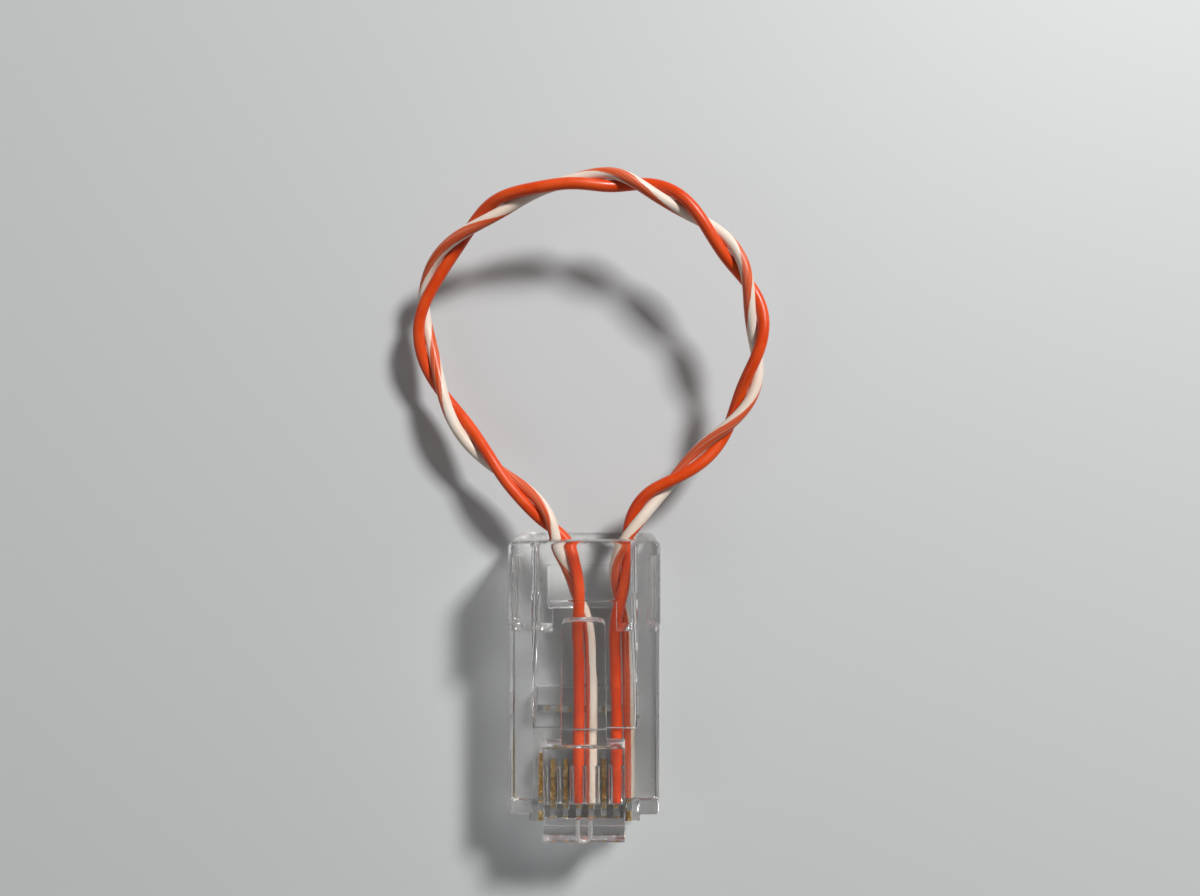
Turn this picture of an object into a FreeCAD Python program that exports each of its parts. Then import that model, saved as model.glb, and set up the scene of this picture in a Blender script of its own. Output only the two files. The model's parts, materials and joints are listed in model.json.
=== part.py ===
import FreeCAD, Part
import math
import os

V = FreeCAD.Vector

# A clear eight-way modular plug with two insulated wires that leave its cable end as a twisted pair,
# make one loop in the air and come back into it, so that two pairs of contacts are joined.
# Frame: +X runs across the contacts, +Y towards the cable end and +Z from the contact face to the latch.
# The plug lies on its contact face at Z = 0, and Y = 0 is the middle of its length. Millimetres.

# Moulded body
BODY_W = 11.68  # across the contacts
BODY_LEN = 21.5  # rear face to the shoulders beside the contact block
BODY_H = 6.6  # contact face to latch-side face
HUMP_LEN = 7.15  # thicker cable end, from the rear face
HUMP_RISE = 1.5  # its height above the latch-side face
HUMP_RAMP = 0.9  # length of the slope that climbs onto it
POCKET_W = 0.6  # tapered coring pockets in the side walls of the hump
POCKET_FLOOR_W = 0.25
POCKET_LEN = 5.5
POCKET_DEPTH = 4.5
POCKET_WALL = 0.35  # outside a pocket
POCKET_FROM_REAR = 1.15
EDGE_R = 0.3  # long edges
UPRIGHT_EDGE_R = 0.45  # upright corners
BLOCK_W = 8.6  # contact block, which stands out between the shoulders
BLOCK_OUT = 0.4
NOSE_W = 6.3  # nose that carries the latch
NOSE_OUT = 1.85  # nose beyond the shoulders
NOSE_H = 2.9  # nose below the latch-side face
NOSE_R = 1.1  # its lower front edge

# Latch lever, measured from the centre of its rounded root along the flattened lever
ROOT_R = 0.75  # rounded root
ROOT_CLEAR = 0.05  # running clearance in its seat
ROOT_RISE = 0.5  # root centre above the latch-side face
LEVER_W = 6.2
LEVER_BELOW = 0.35  # underside below the root centre
SHOULDER_AT = 7.75  # locking shoulders
SHOULDER_RISE = 0.35  # lever at the shoulders above its root
TAIL_LEN = 17.6  # root centre to the end of the tail
TAIL_W = 3.5  # tail at the shoulders
TAIL_TIP_W = 3.2
TAIL_T = 1.05  # tail at the shoulders
TAIL_TIP_T = 0.85
TAIL_TIP_R = 0.6  # corners of the tip
TAIL_BITE = 1.2  # how far the tail runs into the wide part
GATE_W = 1.4  # round-ended pad on the root, where the mould was filled
GATE_RISE = 0.15
GATE_LEN = 1.8
GATE_BACK = 0.3  # its round end's centre behind the root's centre
LEVER_ANGLE = 13.0  # free lever above the latch-side face, degrees
TAIL_NOTCH_W = 5.0  # notch in the hump that lets the tail down
TAIL_NOTCH_CLEAR = 0.35  # behind the flattened tail

# Cable entry and wire bay
FLOOR_T = 1.0  # wall on the contact face
ROOF_T = 0.6  # wall on the latch side, under the notch
ENTRY_W = 8.3
ENTRY_LEN = 4.2
ENTRY_R = 0.7
FLARE = 0.4  # the mouth opens out by this much all round
FLARE_LEN = 0.7
BAY_W = 8.28  # wire bay where the wire slot begins
BAY_HEADROOM = 0.3  # above the wire slot
BAY_CORNER = 0.2  # flats across the corners of the bay where the wire slot begins

# Contacts, their slots and the flat slot that the wires lie in side by side
CONTACTS = 8
PITCH = 1.02
CONTACT_T = 0.35
CONTACT_LEN = 4.0
CONTACT_SETBACK = 0.3  # behind the front of the contact block
CONTACT_RECESS = 0.6  # exposed edge above the contact face
CONTACT_BODY_H = 1.35
CONTACT_NOSE_R = 0.6
TEETH = 2  # piercing teeth on each contact
TOOTH_OVER = 0.28  # tips past the wire's middle
TOOTH_GAP = 0.5  # flat before, between and after the teeth
CONTACT_CLEAR = 0.03  # each side of a contact
CONTACT_END_CLEAR = 0.15  # behind a contact
WIRE_D = 0.93
WIRE_SIDES = 8  # flats of the plain wire's section, with its corners on the diameter
SLOT_Z = 2.9  # wire middle above the contact face
SLOT_ROOM = 0.03  # above and below a wire
SLOT_LEN = 5.7
SLOT_WALL = 0.6  # closed front end of the wire slot, behind the shoulders
RIB_W = 0.3  # ribs between the wires, where they leave the roof and the floor
RIB_TIP_W = 0.14
RIB_TIP_Z = 0.26  # tips above and below the wires' middle
RIB_LEN = 3.1
RIB_BITE = 0.1  # ribs run into the walls by this much
WIRE_END_CLEAR = 0.1

# Strain reliefs that the crimp tool drives in from the contact face
JAW_W = 6.4  # jacket jaw
JAW_LEN = 3.6
JAW_FROM_REAR = 3.0
JAW_T = 0.8
JAW_DRIVEN = 1.15  # how far its free edge stands above the floor
JAW_GAP = 0.2  # slit round it
BAR_W = 8.8  # bar under the wires
BAR_LEN = 1.9
BAR_FROM_MOUTH = 0.4  # behind the mouth of the wire slot
BAR_DRIVEN = 1.2  # depth of its dent in the contact face

# Wires: which contacts each one joins, counted from -X
WIRES = {"orange_wire": ("contact_4", "contact_7"), "white_wire": ("contact_5", "contact_8")}
TOP_WIRE = "white_wire"  # on top of the other at every fourth station
PAIR_GAP = 0.06  # between the two wires of the pair
STRAIGHT_OUT = 3.7  # a wire stays straight this far past the wire slot's mouth
BEND_SHARE = 0.45  # of the shorter run, taken up by an arc
STATIONS_PER_TURN = 4  # quarter turns, and the first crossing is at the last station of the first turn
ROUTE = [  # middle of the pair, a quarter turn of the twist from each station to the next
    (-0.05, 3.6, 3.15),
    (-0.5, 6.5, 3.6),
    (-1.1, 9.35, 4.05),
    (-2.15, 11.9, 4.4),
    (-4.1, 14.4, 4.35),
    (-6.9, 16.9, 4.0),
    (-9.5, 19.8, 3.5),
    (-11.5, 23.0, 3.2),
    (-12.9, 26.4, 3.1),
    (-13.3, 30.0, 3.3),
    (-11.9, 33.3, 4.3),
    (-9.4, 35.8, 5.7),
    (-6.6, 37.7, 6.9),
    (-3.4, 38.8, 7.6),
    (0.0, 39.4, 7.8),
    (3.4, 39.3, 7.8),
    (6.4, 38.3, 7.7),
    (8.9, 36.5, 7.5),
    (11.0, 34.3, 7.4),
    (12.6, 31.8, 7.3),
    (13.4, 29.1, 7.1),
    (13.5, 26.2, 6.7),
    (12.9, 23.4, 6.2),
    (11.6, 20.8, 5.7),
    (9.6, 18.5, 5.2),
    (7.2, 16.4, 4.9),
    (4.8, 14.5, 4.65),
    (3.35, 11.9, 4.4),
    (2.85, 9.2, 4.05),
    (2.85, 6.35, 3.6),
    (3.0, 3.5, 3.15),
]

# Places along the plug that follow from the sizes above
REAR = (BODY_LEN + NOSE_OUT) / 2
SHOULDERS = REAR - BODY_LEN
BLOCK_FRONT = SHOULDERS - BLOCK_OUT
NOSE_FRONT = SHOULDERS - NOSE_OUT
HUMP_Y = REAR - HUMP_LEN
ROOT = V(0, NOSE_FRONT + ROOT_R, BODY_H + ROOT_RISE)
SLOT_HALF = WIRE_D / 2 + SLOT_ROOM
SLOT_END = SHOULDERS + SLOT_WALL
SLOT_MOUTH = SLOT_END + SLOT_LEN
CONTACT_FRONT = BLOCK_FRONT + CONTACT_SETBACK
CONTACT_REAR = CONTACT_FRONT + CONTACT_LEN
PAST = 1.0  # cutters run past a face by this much

# Middle of each contact across the plug
CONTACT_X = {
    "contact_%d" % (index + 1): (index - (CONTACTS - 1) / 2) * PITCH for index in range(CONTACTS)
}


def block(width, y0, y1, z0, z1, x=0.0):
    """A box of the given width, centred on x."""
    return Part.makeBox(width, y1 - y0, z1 - z0, V(x - width / 2, y0, z0))


def prism(edges, width, x=0.0):
    """A closed outline in the YZ plane carried across the plug."""
    face = Part.Face(Part.Wire(edges))
    solid = face.extrude(V(width, 0, 0))
    solid.translate(V(x - width / 2, 0, 0))
    return solid


def yz(y, z):
    return V(0, y, z)


def outline(*corners):
    """Straight sides round the given corners, each a (y, z) pair."""
    points = [yz(*corner) for corner in corners]
    return [Part.makeLine(a, b) for a, b in zip(points, points[1:] + points[:1])]


def bar_across(radius, width, centre):
    """A round bar along X."""
    return Part.makeCylinder(radius, width, centre - V(width / 2, 0, 0), V(1, 0, 0))


def window(width, low, high, radius, y):
    """A rounded rectangle in the plane across the plug at y."""
    half = width / 2
    cut = radius * (1 - math.sqrt(0.5))
    left, right = -half, half
    corners = [
        (V(right - radius, y, low), V(right - cut, y, low + cut), V(right, y, low + radius)),
        (V(right, y, high - radius), V(right - cut, y, high - cut), V(right - radius, y, high)),
        (V(left + radius, y, high), V(left + cut, y, high - cut), V(left, y, high - radius)),
        (V(left, y, low + radius), V(left + cut, y, low + cut), V(left + radius, y, low)),
    ]
    edges = []
    for corner, following in zip(corners, corners[1:] + corners[:1]):
        edges.append(Part.Arc(*corner).toShape())
        edges.append(Part.makeLine(corner[2], following[0]))
    return Part.Wire(edges)


def cut_corners(width, low, high, cut, y):
    """A rectangle with flats across its corners, in the plane across the plug at y."""
    half = width / 2
    points = [
        V(half - cut, y, low),
        V(half, y, low + cut),
        V(half, y, high - cut),
        V(half - cut, y, high),
        V(cut - half, y, high),
        V(-half, y, high - cut),
        V(-half, y, low + cut),
        V(cut - half, y, low),
    ]
    return Part.makePolygon(points + points[:1])


def edges_along(shape, axis, wanted):
    """Straight edges parallel to an axis whose middle passes the wanted test."""
    found = []
    for edge in shape.Edges:
        run = edge.Vertexes[-1].Point - edge.Vertexes[0].Point
        if run.Length > 0 and abs(abs(run.normalize().dot(axis)) - 1) < 1e-6:
            if wanted(edge.CenterOfMass):
                found.append(edge)
    return found


def body_shell():
    """Outer form of the moulding: body, hump, contact block and nose."""
    top = BODY_H + HUMP_RISE
    body = prism(
        outline(
            (REAR, 0),
            (SHOULDERS, 0),
            (SHOULDERS, BODY_H),
            (HUMP_Y, BODY_H),
            (HUMP_Y + HUMP_RAMP, top),
            (REAR, top),
        ),
        BODY_W,
    )
    upright = edges_along(body, V(0, 0, 1), lambda middle: True)
    body = body.makeFillet(UPRIGHT_EDGE_R, upright)
    body = body.makeFillet(EDGE_R, edges_along(body, V(0, 1, 0), lambda middle: True))

    front = block(BLOCK_W, BLOCK_FRONT, SHOULDERS + PAST, 0, BODY_H)
    nose_low = BODY_H - NOSE_H
    cut = NOSE_R * (1 - math.sqrt(0.5))
    lip_start = yz(NOSE_FRONT, nose_low + NOSE_R)
    lip_middle = yz(NOSE_FRONT + cut, nose_low + cut)
    lip_end = yz(NOSE_FRONT + NOSE_R, nose_low)
    nose = prism(
        [
            Part.makeLine(yz(SHOULDERS, BODY_H), yz(NOSE_FRONT, BODY_H)),
            Part.makeLine(yz(NOSE_FRONT, BODY_H), lip_start),
            Part.Arc(lip_start, lip_middle, lip_end).toShape(),
            Part.makeLine(lip_end, yz(SHOULDERS, nose_low)),
            Part.makeLine(yz(SHOULDERS, nose_low), yz(SHOULDERS, BODY_H)),
        ],
        NOSE_W,
    )
    shell = body.fuse([front, nose])
    seat = bar_across(ROOT_R + ROOT_CLEAR, NOSE_W, ROOT)
    notch_end = ROOT.y + TAIL_LEN + TAIL_NOTCH_CLEAR
    notch = block(TAIL_NOTCH_W, HUMP_Y - PAST, notch_end, BODY_H, top + PAST)
    pocket_x = BODY_W / 2 - POCKET_WALL - POCKET_W / 2
    pockets = [pocket(side * pocket_x, top) for side in (-1, 1)]
    return shell.cut([seat, notch] + pockets).removeSplitter()


def pocket(x, top):
    """A coring pocket that narrows from the top of the hump to its floor."""
    rear = REAR - POCKET_FROM_REAR
    floor = top - POCKET_DEPTH
    corners = [
        V(x - POCKET_W / 2, rear, top + PAST),
        V(x - POCKET_W / 2, rear, top),
        V(x - POCKET_FLOOR_W / 2, rear, floor),
        V(x + POCKET_FLOOR_W / 2, rear, floor),
        V(x + POCKET_W / 2, rear, top),
        V(x + POCKET_W / 2, rear, top + PAST),
    ]
    section = Part.Face(Part.makePolygon(corners + corners[:1]))
    return section.extrude(V(0, -POCKET_LEN, 0))


def cavity():
    """Everything hollow: the flared cable entry, the wire bay, the wire slot and the contact slots."""
    roof = BODY_H - ROOF_T
    entry_end = REAR - ENTRY_LEN
    flare = Part.makeLoft(
        [
            window(ENTRY_W + 2 * FLARE, FLOOR_T - FLARE, roof + FLARE, ENTRY_R + FLARE, REAR),
            window(ENTRY_W, FLOOR_T, roof, ENTRY_R, REAR - FLARE_LEN),
        ],
        True,
        True,
    )
    entry_face = Part.Face(window(ENTRY_W, FLOOR_T, roof, ENTRY_R, REAR))
    entry = entry_face.extrude(V(0, entry_end - REAR, 0))
    floor = SLOT_Z - SLOT_HALF
    ceiling = SLOT_Z + SLOT_HALF
    bay = Part.makeLoft(
        [
            cut_corners(ENTRY_W, FLOOR_T, roof, ENTRY_R, entry_end),
            cut_corners(BAY_W, floor, ceiling + BAY_HEADROOM, BAY_CORNER, SLOT_MOUTH),
        ],
        True,
        True,
    )
    wire_slot = block(CONTACTS * PITCH, SLOT_END, SLOT_MOUTH, floor, ceiling)
    hollows = [flare, entry, bay, wire_slot]
    for x in CONTACT_X.values():
        width = CONTACT_T + 2 * CONTACT_CLEAR
        rear = CONTACT_REAR + CONTACT_END_CLEAR
        hollows.append(block(width, BLOCK_FRONT - PAST, rear, -PAST, SLOT_Z, x))
    return hollows


def wire_ribs():
    """Ribs between neighbouring wires, hanging from the roof of the wire slot and standing on its floor."""
    ribs = []
    places = list(CONTACT_X.values())
    for x, neighbour in zip(places, places[1:]):
        middle = (x + neighbour) / 2
        for side in (-1, 1):
            base = SLOT_Z + side * (SLOT_HALF + RIB_BITE)
            tip = SLOT_Z + side * RIB_TIP_Z
            start = SLOT_END - RIB_BITE
            corners = [
                V(middle - RIB_W / 2, start, base),
                V(middle + RIB_W / 2, start, base),
                V(middle + RIB_TIP_W / 2, start, tip),
                V(middle - RIB_TIP_W / 2, start, tip),
            ]
            section = Part.Face(Part.makePolygon(corners + corners[:1]))
            ribs.append(section.extrude(V(0, RIB_LEN + RIB_BITE, 0)))
    return ribs


def strain_reliefs():
    """Cuts and added bars of the two strain reliefs, which stay part of the moulding."""
    jaw_rear = REAR - JAW_FROM_REAR
    jaw_front = jaw_rear - JAW_LEN
    jaw_cut = block(JAW_W, jaw_front, jaw_rear, -PAST, FLOOR_T + JAW_T)
    free_edge = jaw_front + JAW_GAP
    high = FLOOR_T + JAW_DRIVEN
    jaw = prism(
        outline(
            (jaw_rear + JAW_GAP, FLOOR_T - JAW_T),
            (jaw_rear + JAW_GAP, FLOOR_T),
            (jaw_rear, FLOOR_T),
            (free_edge + JAW_T, high),
            (free_edge, high),
            (free_edge, high - JAW_T),
            (jaw_rear, FLOOR_T - JAW_T),
        ),
        JAW_W - 2 * JAW_GAP,
    )
    bar_front = SLOT_MOUTH + BAR_FROM_MOUTH
    dent = block(BAR_W, bar_front, bar_front + BAR_LEN, -PAST, BAR_DRIVEN)
    return [jaw_cut, dent], [jaw]


def housing():
    cuts, bars = strain_reliefs()
    moulding = body_shell().cut(cavity() + cuts)
    return moulding.fuse(bars + wire_ribs()).removeSplitter()


def latch():
    """Lever with locking shoulders and a narrower tail, laid flat, then raised to its free angle."""
    root = bar_across(ROOT_R, LEVER_W, V(0, 0, 0))
    wide = prism(
        outline(
            (0, -LEVER_BELOW),
            (SHOULDER_AT, -LEVER_BELOW),
            (SHOULDER_AT, ROOT_R + SHOULDER_RISE),
            (0, ROOT_R),
        ),
        LEVER_W,
    )
    tail_ends = []
    for along, width, thick in (
        (SHOULDER_AT - TAIL_BITE, TAIL_W, TAIL_T),
        (TAIL_LEN, TAIL_TIP_W, TAIL_TIP_T),
    ):
        corners = [
            V(side * width / 2, along, level - LEVER_BELOW)
            for side, level in ((-1, 0), (1, 0), (1, thick), (-1, thick))
        ]
        tail_ends.append(Part.makePolygon(corners + corners[:1]))
    tail = Part.makeLoft(tail_ends, True, True)
    tip = edges_along(tail, V(0, 0, 1), lambda middle: middle.y > SHOULDER_AT)
    tail = tail.makeFillet(TAIL_TIP_R, tip)
    gate_end = Part.makeCylinder(GATE_W / 2, ROOT_R + GATE_RISE, V(0, GATE_BACK, 0))
    gate_pad = block(GATE_W, GATE_BACK, GATE_LEN, 0, ROOT_R + GATE_RISE)
    lever = root.fuse([wide, tail, gate_end, gate_pad]).removeSplitter()
    lever.rotate(V(0, 0, 0), V(1, 0, 0), LEVER_ANGLE)
    lever.translate(ROOT)
    return lever


def contact(x):
    """A stamped blade with a rounded front edge below and piercing teeth above."""
    low = CONTACT_RECESS
    high = low + CONTACT_BODY_H
    tip = SLOT_Z + TOOTH_OVER
    cut = CONTACT_NOSE_R * (1 - math.sqrt(0.5))
    nose = [
        yz(CONTACT_FRONT, low + CONTACT_NOSE_R),
        yz(CONTACT_FRONT + cut, low + cut),
        yz(CONTACT_FRONT + CONTACT_NOSE_R, low),
    ]
    corners = [nose[2], yz(CONTACT_REAR, low), yz(CONTACT_REAR, high)]
    tooth_w = (CONTACT_LEN - (TEETH + 1) * TOOTH_GAP) / TEETH
    for tooth in reversed(range(TEETH)):
        front = CONTACT_FRONT + TOOTH_GAP + tooth * (tooth_w + TOOTH_GAP)
        corners += [
            yz(front + tooth_w, high),
            yz(front + tooth_w / 2, tip),
            yz(front, high),
        ]
    corners += [yz(CONTACT_FRONT, high), nose[0]]
    edges = [Part.makeLine(a, b) for a, b in zip(corners, corners[1:])]
    edges.append(Part.Arc(*nose).toShape())
    return prism(edges, CONTACT_T, x)


def unit(vector):
    return vector * (1 / vector.Length)


def wire_points(name):
    """Corners of one wire: out of the wire slot, round the twisted loop and back into the slot."""
    quarter = 2 * math.pi / STATIONS_PER_TURN
    spread = (WIRE_D + PAIR_GAP) / 2 / math.cos(quarter / 2)
    side = 1 if name == TOP_WIRE else -1
    stations = [V(*point) for point in ROUTE]
    turned = []
    for index, middle in enumerate(stations):
        before = stations[max(index - 1, 0)]
        after = stations[min(index + 1, len(stations) - 1)]
        along = unit(after - before)
        right = unit(along.cross(V(0, 0, 1)))
        up = right.cross(along)
        angle = (index + 1) * quarter
        turned.append(middle + (up * math.cos(angle) + right * math.sin(angle)) * (side * spread))

    ends = (SLOT_END + WIRE_END_CLEAR, SLOT_MOUTH + STRAIGHT_OUT)
    straight = [[V(CONTACT_X[contact_name], y, SLOT_Z) for y in ends] for contact_name in WIRES[name]]
    return straight[0] + turned + straight[1][::-1]


def rounded_path(points):
    """Straight runs joined by tangent arcs, with the radius of each arc."""
    edges = []
    radii = []
    start = points[0]
    for before, corner, after in zip(points, points[1:], points[2:]):
        into = unit(corner - before)
        out = unit(after - corner)
        half_turn = into.getAngle(out) / 2
        reach = BEND_SHARE * min((corner - before).Length, (after - corner).Length)
        radius = reach / math.tan(half_turn)
        middle = corner + unit(out - into) * (radius / math.cos(half_turn) - radius)
        arc_start = corner - into * reach
        arc_end = corner + out * reach
        edges.append(Part.LineSegment(start, arc_start).toShape())
        edges.append(Part.Arc(arc_start, middle, arc_end).toShape())
        radii.append(radius)
        start = arc_end
    edges.append(Part.LineSegment(start, points[-1]).toShape())
    return Part.Wire(edges), radii


def wire(name, contacts):
    """One insulated wire, notched where the teeth of its two contacts bite into it."""
    points = wire_points(name)
    path, radii = rounded_path(points)
    corners = []
    for index in range(WIRE_SIDES):
        angle = 2 * math.pi * index / WIRE_SIDES
        corners.append(points[0] + V(math.cos(angle), 0, math.sin(angle)) * (WIRE_D / 2))
    section = Part.Face(Part.makePolygon(corners + corners[:1]))
    tube = path.makePipe(section)
    expected = section.Area * path.Length
    print(name, "length", round(path.Length, 1), "smallest radius", round(min(radii), 2))
    print(name, "volume", round(tube.Volume, 3), "section times length", round(expected, 3))
    return tube.cut([contacts[contact_name] for contact_name in WIRES[name]])


def main():
    contacts = {name: contact(x) for name, x in CONTACT_X.items()}
    pieces = {"housing": housing(), "latch": latch()}
    pieces.update(contacts)
    for name in WIRES:
        pieces[name] = wire(name, contacts)
    os.makedirs("parts", exist_ok=True)
    for name, shape in pieces.items():
        solid = shape.Solids[0] if len(shape.Solids) == 1 else shape
        print(name, len(shape.Solids), "solid", shape.isValid(), round(shape.Volume, 3))
        solid.exportStep(os.path.join("parts", name + ".step"))


main()
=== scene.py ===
# %% [markdown]
# # A loopback plug, dressed for its portrait
# A loopback plug is a clear modular plug whose own wires lead from some contacts back to
# others, so that a line can be tested from one end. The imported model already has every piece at
# its real size and place. This lesson gives the pieces their looks: clear moulded plastic,
# gold-plated contacts and a twisted pair of insulated wires.

# %% Load the fixed frame
import json
import math

import bmesh
import bpy
import numpy as np
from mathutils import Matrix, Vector


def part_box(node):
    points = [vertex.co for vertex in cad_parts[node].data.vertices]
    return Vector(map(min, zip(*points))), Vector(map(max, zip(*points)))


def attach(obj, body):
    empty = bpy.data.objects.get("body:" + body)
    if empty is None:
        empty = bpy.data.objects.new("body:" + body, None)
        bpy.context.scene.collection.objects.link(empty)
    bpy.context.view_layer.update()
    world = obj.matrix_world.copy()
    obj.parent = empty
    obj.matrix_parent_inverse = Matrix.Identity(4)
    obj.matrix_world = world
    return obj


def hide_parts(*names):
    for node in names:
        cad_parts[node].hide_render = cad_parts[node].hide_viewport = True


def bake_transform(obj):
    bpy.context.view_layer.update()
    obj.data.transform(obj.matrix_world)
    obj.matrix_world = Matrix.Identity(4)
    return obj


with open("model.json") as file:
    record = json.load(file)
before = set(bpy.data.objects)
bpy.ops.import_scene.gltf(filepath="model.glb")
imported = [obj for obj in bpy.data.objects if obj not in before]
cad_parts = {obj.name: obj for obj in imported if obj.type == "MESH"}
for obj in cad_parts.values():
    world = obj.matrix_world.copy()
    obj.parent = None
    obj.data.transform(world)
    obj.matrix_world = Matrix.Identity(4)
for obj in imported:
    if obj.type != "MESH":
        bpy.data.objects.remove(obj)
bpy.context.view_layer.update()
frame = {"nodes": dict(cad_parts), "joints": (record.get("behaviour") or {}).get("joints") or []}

MM = 0.001  # the frame is in metres, and sizes below are written in millimetres

# %% [markdown]
# ## The camera
# The photograph looks straight down on the plug. Straight lines and the offset of the shadow
# say how far away the lens was: about a hand's breadth above the table, over the wire loop. So
# the camera hangs there unturned, because a camera with no turn looks down the -Z axis with +Y
# up in the picture.

# %% Camera above the loop
CAMERA_AT = (1.21, 18.78, 87.5)  # mm
FOCAL_PX = 1040  # pixels of a picture that is IMAGE_W wide
IMAGE_W = 1200
SENSOR_W = 36  # mm
CLIP_START = 1  # mm

camera_data = bpy.data.cameras.new("overhead")
camera_data.sensor_width = SENSOR_W
camera_data.lens = SENSOR_W * FOCAL_PX / IMAGE_W
camera_data.clip_start = CLIP_START * MM
camera = bpy.data.objects.new("overhead", camera_data)
camera.location = np.array(CAMERA_AT) * MM
bpy.context.scene.collection.objects.link(camera)
bpy.context.scene.camera = camera
print("lens", round(camera_data.lens, 1), "mm")

# %% [markdown]
# ## Meshes from whole arrays
# Each new piece is a grid of points: rows along the piece, columns around it. One helper joins
# neighbours of such a grid into quads, one closes the two ends of a stack of rings, and one
# puts points and faces into a mesh whose object stays at the origin.

# %% Grid helpers
PIECE_SMOOTH = 40  # degrees, edges that turn by less are shaded smooth


def grid_quads(rows, columns):
    """Quads between neighbours of a rows by columns grid, its last column joined to its
    first."""
    index = np.arange(rows * columns).reshape(rows, columns)
    index = np.hstack([index, index[:, :1]])
    corners = (index[:-1, :-1], index[:-1, 1:], index[1:, 1:], index[1:, :-1])
    return np.stack(corners, axis=-1).reshape(-1, 4)


def end_caps(rows, columns):
    """The two faces that close a rows by columns stack of rings."""
    last = (rows - 1) * columns
    return [range(columns - 1, -1, -1), range(last, last + columns)]


def new_piece(name, points, faces, smooth_below=PIECE_SMOOTH):
    """A mesh object at the origin, smooth across edges that turn by less than the given
    degrees."""
    mesh = bpy.data.meshes.new(name)
    places = np.asarray(points).reshape(-1, 3).tolist()
    mesh.from_pydata(places, [], [list(map(int, face)) for face in faces])
    mesh.validate()
    mesh.shade_smooth()
    mesh.set_sharp_from_angle(angle=math.radians(smooth_below))
    piece = bpy.data.objects.new(name, mesh)
    bpy.context.scene.collection.objects.link(piece)
    return piece


# %% [markdown]
# ## The twisted pair
# Two wires are wound round each other, so both follow one middle line. That line is a NURBS
# curve drawn along the loop's points: smooth, like a wire bent by hand. Inside the plug it goes
# on straight, between the two places in the wire slot where the wires end.

# %% Middle line of the pair
ROUTE = [  # mm, the middle of the pair a quarter turn apart, as in the solid model
    (-0.05, 3.6, 3.15),
    (-0.5, 6.5, 3.6),
    (-1.1, 9.35, 4.05),
    (-2.15, 11.9, 4.4),
    (-4.1, 14.4, 4.35),
    (-6.9, 16.9, 4.0),
    (-9.5, 19.8, 3.5),
    (-11.5, 23.0, 3.2),
    (-12.9, 26.4, 3.1),
    (-13.3, 30.0, 3.3),
    (-11.9, 33.3, 4.3),
    (-9.4, 35.8, 5.7),
    (-6.6, 37.7, 6.9),
    (-3.4, 38.8, 7.6),
    (0.0, 39.4, 7.8),
    (3.4, 39.3, 7.8),
    (6.4, 38.3, 7.7),
    (8.9, 36.5, 7.5),
    (11.0, 34.3, 7.4),
    (12.6, 31.8, 7.3),
    (13.4, 29.1, 7.1),
    (13.5, 26.2, 6.7),
    (12.9, 23.4, 6.2),
    (11.6, 20.8, 5.7),
    (9.6, 18.5, 5.2),
    (7.2, 16.4, 4.9),
    (4.8, 14.5, 4.65),
    (3.35, 11.9, 4.4),
    (2.85, 9.2, 4.05),
    (2.85, 6.35, 3.6),
    (3.0, 3.5, 3.15),
]
LEFT_CONTACTS = (4, 5)  # orange and white, where the pair starts
RIGHT_CONTACTS = (7, 8)  # orange and white, where it ends
SLOT_Z = 2.9  # mm, wire middle above the contact face
SLOT_YS = (-9.125, -6.0, -2.9, 0.2)  # mm, points of the straight stretch in the wire slot
CURVE_ORDER = 3  # control points that pull on each stretch
STEPS = 16  # points read from the curve for each control point


def between(contacts):
    """Middle, across the plug, of two contacts, in mm."""
    boxes = [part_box("contact_%d" % number) for number in contacts]
    return np.mean([corner.x for box in boxes for corner in box]) / MM


left_x, right_x = between(LEFT_CONTACTS), between(RIGHT_CONTACTS)
line_in = [(left_x, y, SLOT_Z) for y in SLOT_YS]
line_out = [(right_x, y, SLOT_Z) for y in reversed(SLOT_YS)]
controls = np.array(line_in + ROUTE + line_out) * MM


def smooth_line(control_points):
    """Points along the NURBS curve that the control points pull on."""
    curve = bpy.data.curves.new("pair_line", "CURVE")
    curve.dimensions = "3D"
    spline = curve.splines.new("NURBS")
    spline.points.add(len(control_points) - 1)
    weights = np.ones(len(control_points))
    spline.points.foreach_set("co", np.c_[control_points, weights].ravel())
    spline.order_u = CURVE_ORDER
    spline.use_endpoint_u = True
    spline.resolution_u = STEPS
    holder = bpy.data.objects.new("pair_line", curve)
    bpy.context.scene.collection.objects.link(holder)
    bpy.context.view_layer.update()
    drawn = holder.evaluated_get(bpy.context.evaluated_depsgraph_get())
    line = bpy.data.meshes.new_from_object(drawn)
    points = np.zeros(len(line.vertices) * 3)
    line.vertices.foreach_get("co", points)
    bpy.data.objects.remove(holder)
    bpy.data.curves.remove(curve)
    bpy.data.meshes.remove(line)
    return points.reshape(-1, 3)


def runs(line):
    """Distances from each point of a line to the next."""
    return np.linalg.norm(np.diff(line, axis=0), axis=1)


middle = smooth_line(controls)
print("middle line", len(middle), "points", round(runs(middle).sum() / MM, 1), "mm")

# %% [markdown]
# ### Winding the strands
# A strand is the middle line plus a short arm that turns as it goes. Each station of the route
# is a quarter turn, so the turn is read off the nearest station, eased so that no corner shows,
# and held still in the wire slot. There the arm lies flat and half a contact pitch long, and
# outside the wires touch. A pair that has been bent by hand is never evenly twisted: in the
# mouth of the plug the white wire dives under the orange one, and at the top of the loop the
# orange wire stays on top for longer than elsewhere.

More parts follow.
